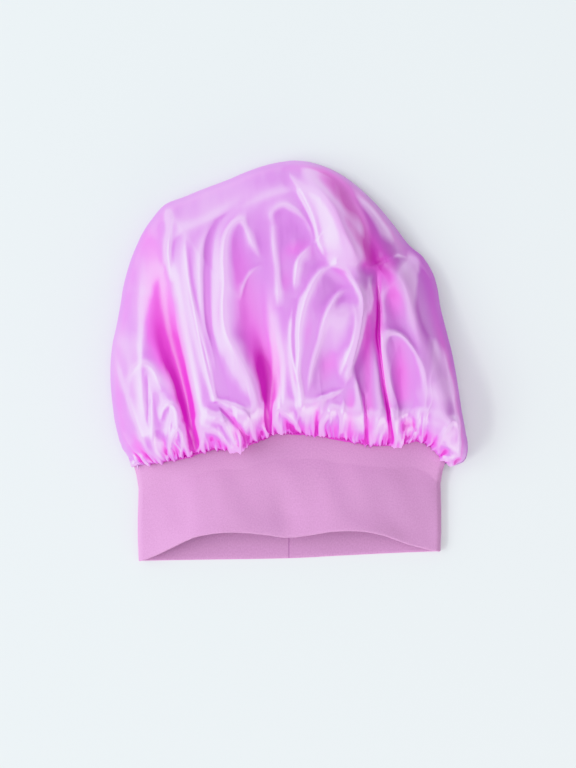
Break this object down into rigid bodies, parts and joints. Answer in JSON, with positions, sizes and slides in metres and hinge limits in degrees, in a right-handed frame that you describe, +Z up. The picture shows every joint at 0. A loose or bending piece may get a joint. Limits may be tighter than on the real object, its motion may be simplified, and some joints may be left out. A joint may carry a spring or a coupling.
{
  "type": "hair bonnet",
  "caption": "Satin hair bonnet laid flat: a round of cloth gathered onto a wide folded knit band, its mouth slightly open.",
  "frame": {"origin": "on the table, under the middle of the bonnet's outline box", "axes": "+X across the bonnet to its right side as worn side up, +Y from the band's mouth to the crown's top, +Z up from the table, out of the front"},
  "size_m": [0.2972, 0.334, 0.0608],
  "materials": {
    "satin": "glossy woven satin",
    "knit": "matte stretch knit",
    "thread": "sewing thread"
  },
  "bodies": {
    "root": {"crown": "satin", "band": "knit", "band_seam_thread": "thread", "crown_gathering_thread": "thread", "crown_seam_overlock": "thread", "crown_seam_needle_thread": "thread"}
  },
  "joints": []
}
